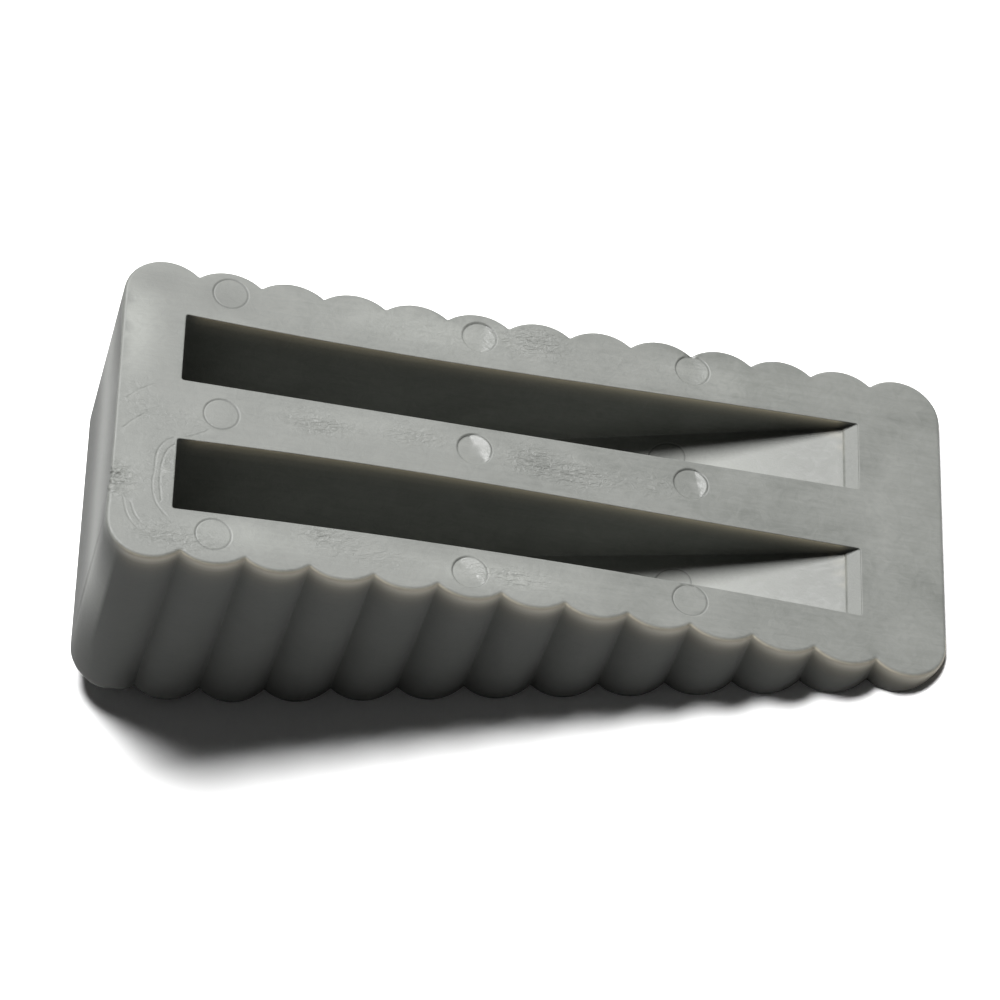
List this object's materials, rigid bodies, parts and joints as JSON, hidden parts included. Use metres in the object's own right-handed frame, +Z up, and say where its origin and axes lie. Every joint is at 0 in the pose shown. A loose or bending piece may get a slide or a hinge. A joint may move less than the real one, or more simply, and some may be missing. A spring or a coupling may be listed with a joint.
{
  "type": "door wedge",
  "caption": "Moulded rubber door wedge with fluted long sides, a rounded heel and long pockets cored out of its floor face.",
  "frame": {"origin": "middle of the bounding box's base. The wedge is stored lying on its long sloping door face, with the pocketed floor face up.", "axes": "+Z up, away from the door face it lies on; +X along the length towards the thin end; +Y across the width, square to its plane of symmetry. The floor face leans by the wedge angle of 17.7 degrees: to put the wedge in use, turn it over about X and lay the mount floor_face on the floor."},
  "size_m": [0.1238, 0.051, 0.0379],
  "materials": {
    "grey_rubber": "semi-matt moulded soft plastic rubber, slightly see-through at thin edges"
  },
  "bodies": {
    "root": {"wedge_body": "grey_rubber"}
  },
  "joints": []
}
